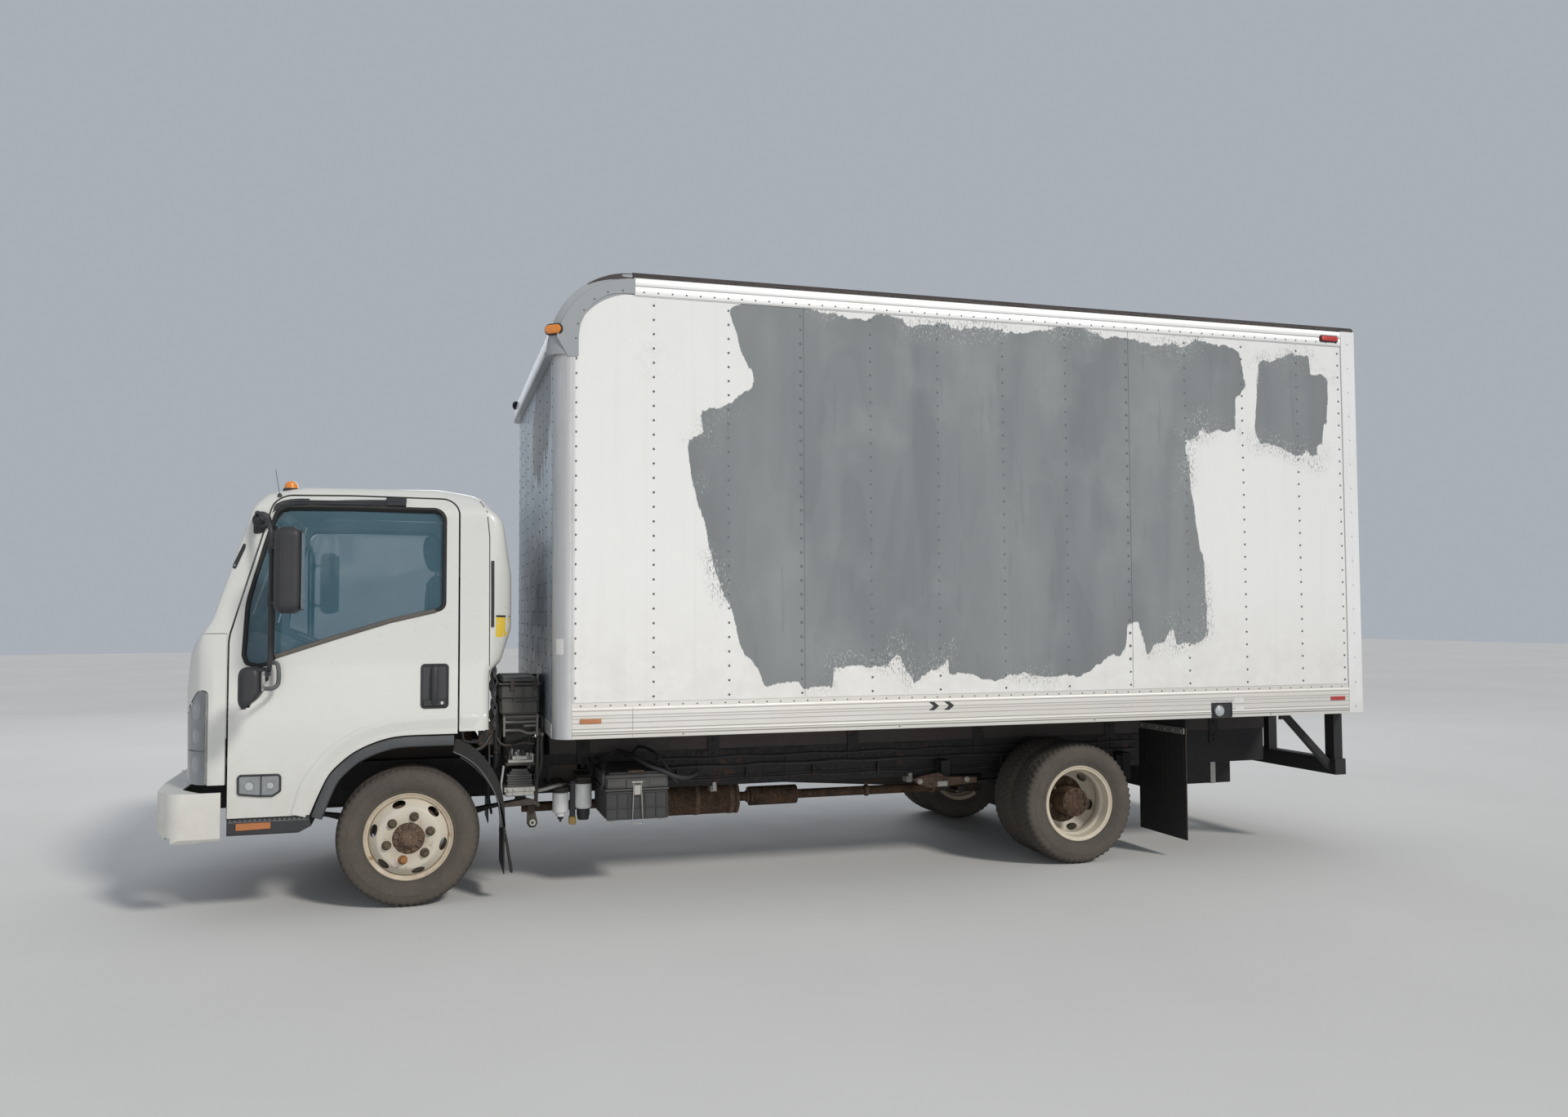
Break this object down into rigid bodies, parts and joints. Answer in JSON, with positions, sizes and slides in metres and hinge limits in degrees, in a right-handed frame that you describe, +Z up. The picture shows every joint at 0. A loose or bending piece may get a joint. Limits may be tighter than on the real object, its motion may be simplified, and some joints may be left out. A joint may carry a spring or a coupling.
{
  "type": "box truck",
  "caption": "Low-cab-forward light truck with a dry-freight box, tilting cab, opening doors, steering front wheels and twin rear wheels.",
  "frame": {"origin": "on the ground under the middle of the whole truck, mirrors and lamps included", "axes": "+Z up, the truck faces -Y, +X is the driver's (left) side"},
  "size_m": [2.79, 6.94, 3.296],
  "materials": {
    "cab_paint": "weathered gloss off-white paint",
    "box_paint": "weathered white pre-painted panel with grey roller patches",
    "cap_grey": "faded grey fibreglass",
    "alloy": "satin, weathered",
    "roof_sheet": "satin",
    "chassis_black": "dusty satin black",
    "cast": "dusty, rust spots",
    "rusty_steel": "rusty",
    "rim_paint": "chipped cream-white paint with rust",
    "tyre": "dusty, worn",
    "timber": "raw sill timber, stained",
    "deck": "laminated hardwood deck",
    "black_plastic": "textured, slightly greyed",
    "grey_plastic": "weathered",
    "white_can": "gloss",
    "glass": "lightly tinted",
    "lens_clear": "clear lens over chrome bowls",
    "lens_amber": "amber lens",
    "lens_red": "red lens",
    "trim_interior": "grey moulded trim",
    "seat_cloth": "woven grey",
    "door_panel": "white roll-up curtain"
  },
  "bodies": {
    "chassis": {"frame_rails": "chassis_black", "cross_members": "chassis_black", "frame_brackets": "chassis_black", "front_axle": "cast", "rear_axle": "cast", "leaf_springs": "chassis_black", "engine_block": "cast", "radiator": "chassis_black", "driveline": "cast", "exhaust": "rusty_steel", "fuel_tank": "chassis_black", "battery_box": "grey_plastic", "fuel_filters": "white_can", "reservoir_box": "grey_plastic", "air_cleaner": "black_plastic", "front_bumper": "cab_paint", "mudguards": "black_plastic", "rear_bumper": "chassis_black", "box_sills": "timber", "box_bearers": "chassis_black", "box_floor": "deck", "box_side_walls": "box_paint", "box_front_wall": "box_paint", "box_roof": "roof_sheet", "box_mouldings": "alloy", "nose_cap": "cap_grey", "rear_frame": "box_paint", "roll_up_door": "door_panel", "box_lamps": "lens_red"},
    "cab": {"cab_shell": "cab_paint", "front_panel": "cab_paint", "headlamps": "lens_clear", "cab_glass": "glass", "cab_floor": "chassis_black", "engine_cover": "trim_interior", "step_wells": "black_plastic", "steering_column": "trim_interior", "front_grille": "grey_plastic", "dashboard": "trim_interior", "cab_seats": "seat_cloth", "roof_lamps": "lens_amber"},
    "steering_wheel": {"steering_wheel": "trim_interior"},
    "left_door": {"left_door": "cab_paint", "left_door_glass": "glass", "left_mirror": "black_plastic"},
    "left_knuckle": {"left_knuckle": "cast"},
    "front_left_wheel": {"front_left_rim": "rim_paint", "front_left_tyre": "tyre"},
    "rear_left_wheels": {"rear_left_rims": "rim_paint", "rear_left_tyres": "tyre"},
    "right_door": {"right_door": "cab_paint", "right_door_glass": "glass", "right_mirror": "black_plastic"},
    "right_knuckle": {"right_knuckle": "cast"},
    "front_right_wheel": {"front_right_rim": "rim_paint", "front_right_tyre": "tyre"},
    "rear_right_wheels": {"rear_right_rims": "rim_paint", "rear_right_tyres": "tyre"},
    "tie_rod": {"tie_rod": "chassis_black"}
  },
  "joints": [
    {"name": "steer", "type": "hinge", "parent": "chassis", "child": "left_knuckle", "pos_m": [0.735, -2.27, 0.357], "axis": [0, 0, 1], "range_deg": [-34, 34]},
    {"name": "steer_right", "type": "hinge", "parent": "chassis", "child": "right_knuckle", "pos_m": [-0.735, -2.27, 0.357], "axis": [0, 0, 1], "range_deg": [-34, 34]},
    {"name": "tie_rod_pivot", "type": "hinge", "parent": "left_knuckle", "child": "tie_rod", "pos_m": [0.735, -2.135, 0.288], "axis": [0, 0, 1], "range_deg": [-34, 34]},
    {"name": "steering_wheel_turn", "type": "hinge", "parent": "cab", "child": "steering_wheel", "pos_m": [0.4, -2.83, 1.335], "axis": [0, 0.42, 0.9075], "range_deg": [-510, 510]},
    {"name": "cab_tilt", "type": "hinge", "parent": "chassis", "child": "cab", "pos_m": [0, -3.22, 0.78], "axis": [1, 0, 0], "range_deg": [0, 45]},
    {"name": "left_door_hinge", "type": "hinge", "parent": "cab", "child": "left_door", "pos_m": [1.018, -3.12, 1.2], "axis": [0, 0, -1], "range_deg": [0, 70]},
    {"name": "right_door_hinge", "type": "hinge", "parent": "cab", "child": "right_door", "pos_m": [-1.018, -3.12, 1.2], "axis": [0, 0, 1], "range_deg": [0, 70]},
    {"name": "front_left_spin", "type": "hinge", "parent": "left_knuckle", "child": "front_left_wheel", "pos_m": [0.832, -2.27, 0.357], "axis": [1, 0, 0], "continuous": true},
    {"name": "front_right_spin", "type": "hinge", "parent": "right_knuckle", "child": "front_right_wheel", "pos_m": [-0.832, -2.27, 0.357], "axis": [1, 0, 0], "continuous": true},
    {"name": "rear_left_spin", "type": "hinge", "parent": "chassis", "child": "rear_left_wheels", "pos_m": [0.826, 1.54, 0.357], "axis": [1, 0, 0], "continuous": true},
    {"name": "rear_right_spin", "type": "hinge", "parent": "chassis", "child": "rear_right_wheels", "pos_m": [-0.826, 1.54, 0.357], "axis": [1, 0, 0], "continuous": true}
  ],
  "couplings": [
    {"joint": "steer_right", "follows": "steer", "ratio": 1},
    {"joint": "tie_rod_pivot", "follows": "steer", "ratio": -1},
    {"joint": "steering_wheel_turn", "follows": "steer", "ratio": 15}
  ]
}
